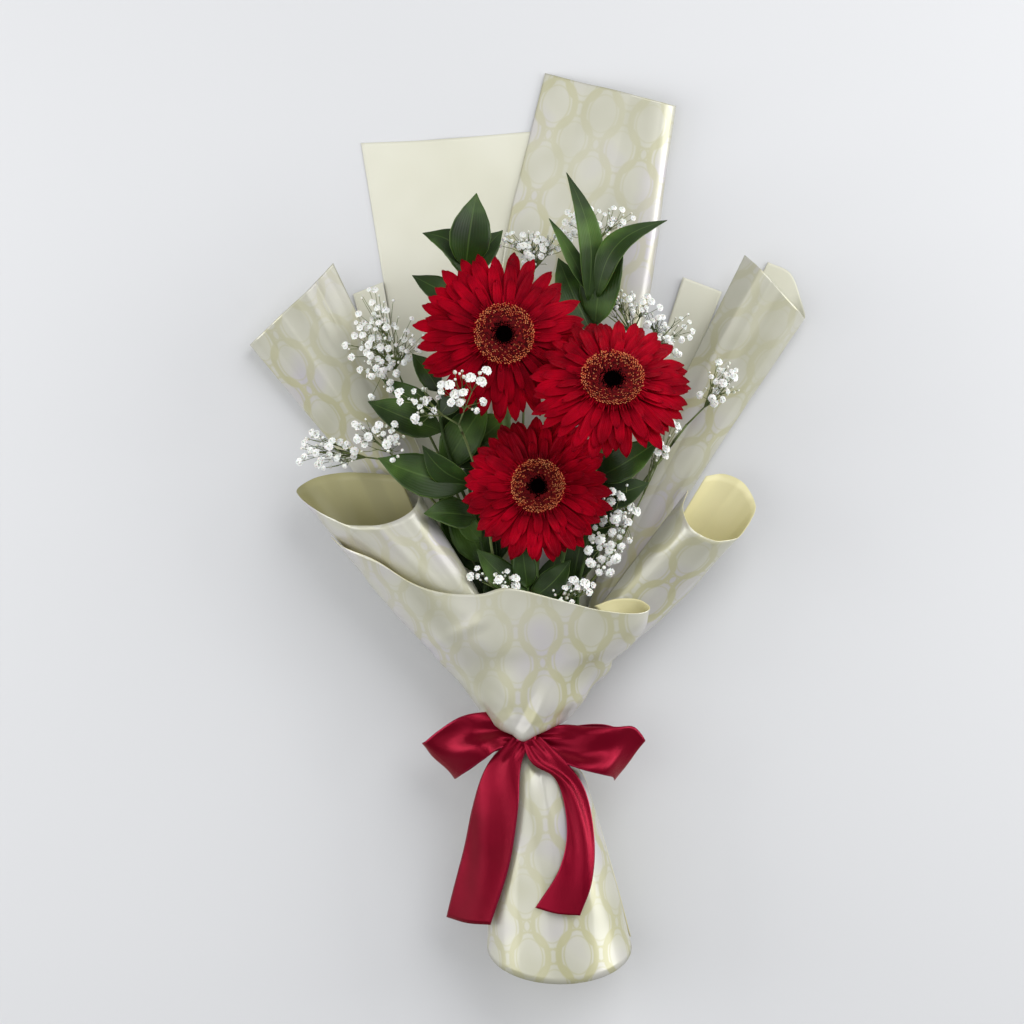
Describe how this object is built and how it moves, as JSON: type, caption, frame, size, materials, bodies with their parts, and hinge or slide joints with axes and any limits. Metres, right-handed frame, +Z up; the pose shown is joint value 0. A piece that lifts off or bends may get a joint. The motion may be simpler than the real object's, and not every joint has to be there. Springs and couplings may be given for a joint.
{
  "type": "paper-wrapped gerbera bouquet",
  "caption": "Hand-tied bouquet of red gerberas with ruscus and baby's breath, wrapped in pearly film rolled into horns and tied with a satin ribbon bow, lying on its back.",
  "frame": {"origin": "on the table, under the middle of the bouquet's bounding box", "axes": "+Y from the foot of the wrap to the flowers, +Z up from the table, the way the flowers face, +X to the bouquet's right seen from the front"},
  "size_m": [0.3688, 0.5972, 0.1456],
  "materials": {
    "wrapping_film": "pearly printed film, plain cream on its other face",
    "film_inside": "plain cream face of the wrapping film",
    "tie_tape": "translucent florist's tape",
    "ribbon_satin": "crimson satin",
    "flower_stem": "green, downy",
    "red_petal": "velvety",
    "flower_disc": "dark florets with orange tips",
    "ruscus_leaf": "dark, half gloss",
    "babys_breath": "white florets on green stalks"
  },
  "bodies": {
    "root": {"wrap_outer": "wrapping_film", "wrap_cornet_left": "wrapping_film", "wrap_cornet_right": "wrapping_film", "wrap_wing_left": "wrapping_film", "wrap_wing_right": "wrapping_film", "wrap_back_left": "film_inside", "wrap_back_right": "wrapping_film", "wrap_liner_left": "film_inside", "wrap_liner_right": "film_inside", "stem_tie": "tie_tape", "satin_ribbon": "ribbon_satin", "gerbera_1_stem": "flower_stem", "gerbera_1_rays": "red_petal", "gerbera_1_disc": "flower_disc", "gerbera_2_stem": "flower_stem", "gerbera_2_rays": "red_petal", "gerbera_2_disc": "flower_disc", "gerbera_3_stem": "flower_stem", "gerbera_3_rays": "red_petal", "gerbera_3_disc": "flower_disc", "ruscus_1": "ruscus_leaf", "ruscus_2": "ruscus_leaf", "ruscus_3": "ruscus_leaf", "ruscus_4": "ruscus_leaf", "ruscus_5": "ruscus_leaf", "ruscus_6": "ruscus_leaf", "babys_breath_1": "babys_breath", "babys_breath_2": "babys_breath", "babys_breath_3": "babys_breath", "babys_breath_4": "babys_breath", "babys_breath_5": "babys_breath", "babys_breath_6": "babys_breath", "babys_breath_7": "babys_breath", "babys_breath_8": "babys_breath", "babys_breath_9": "babys_breath"}
  },
  "joints": []
}
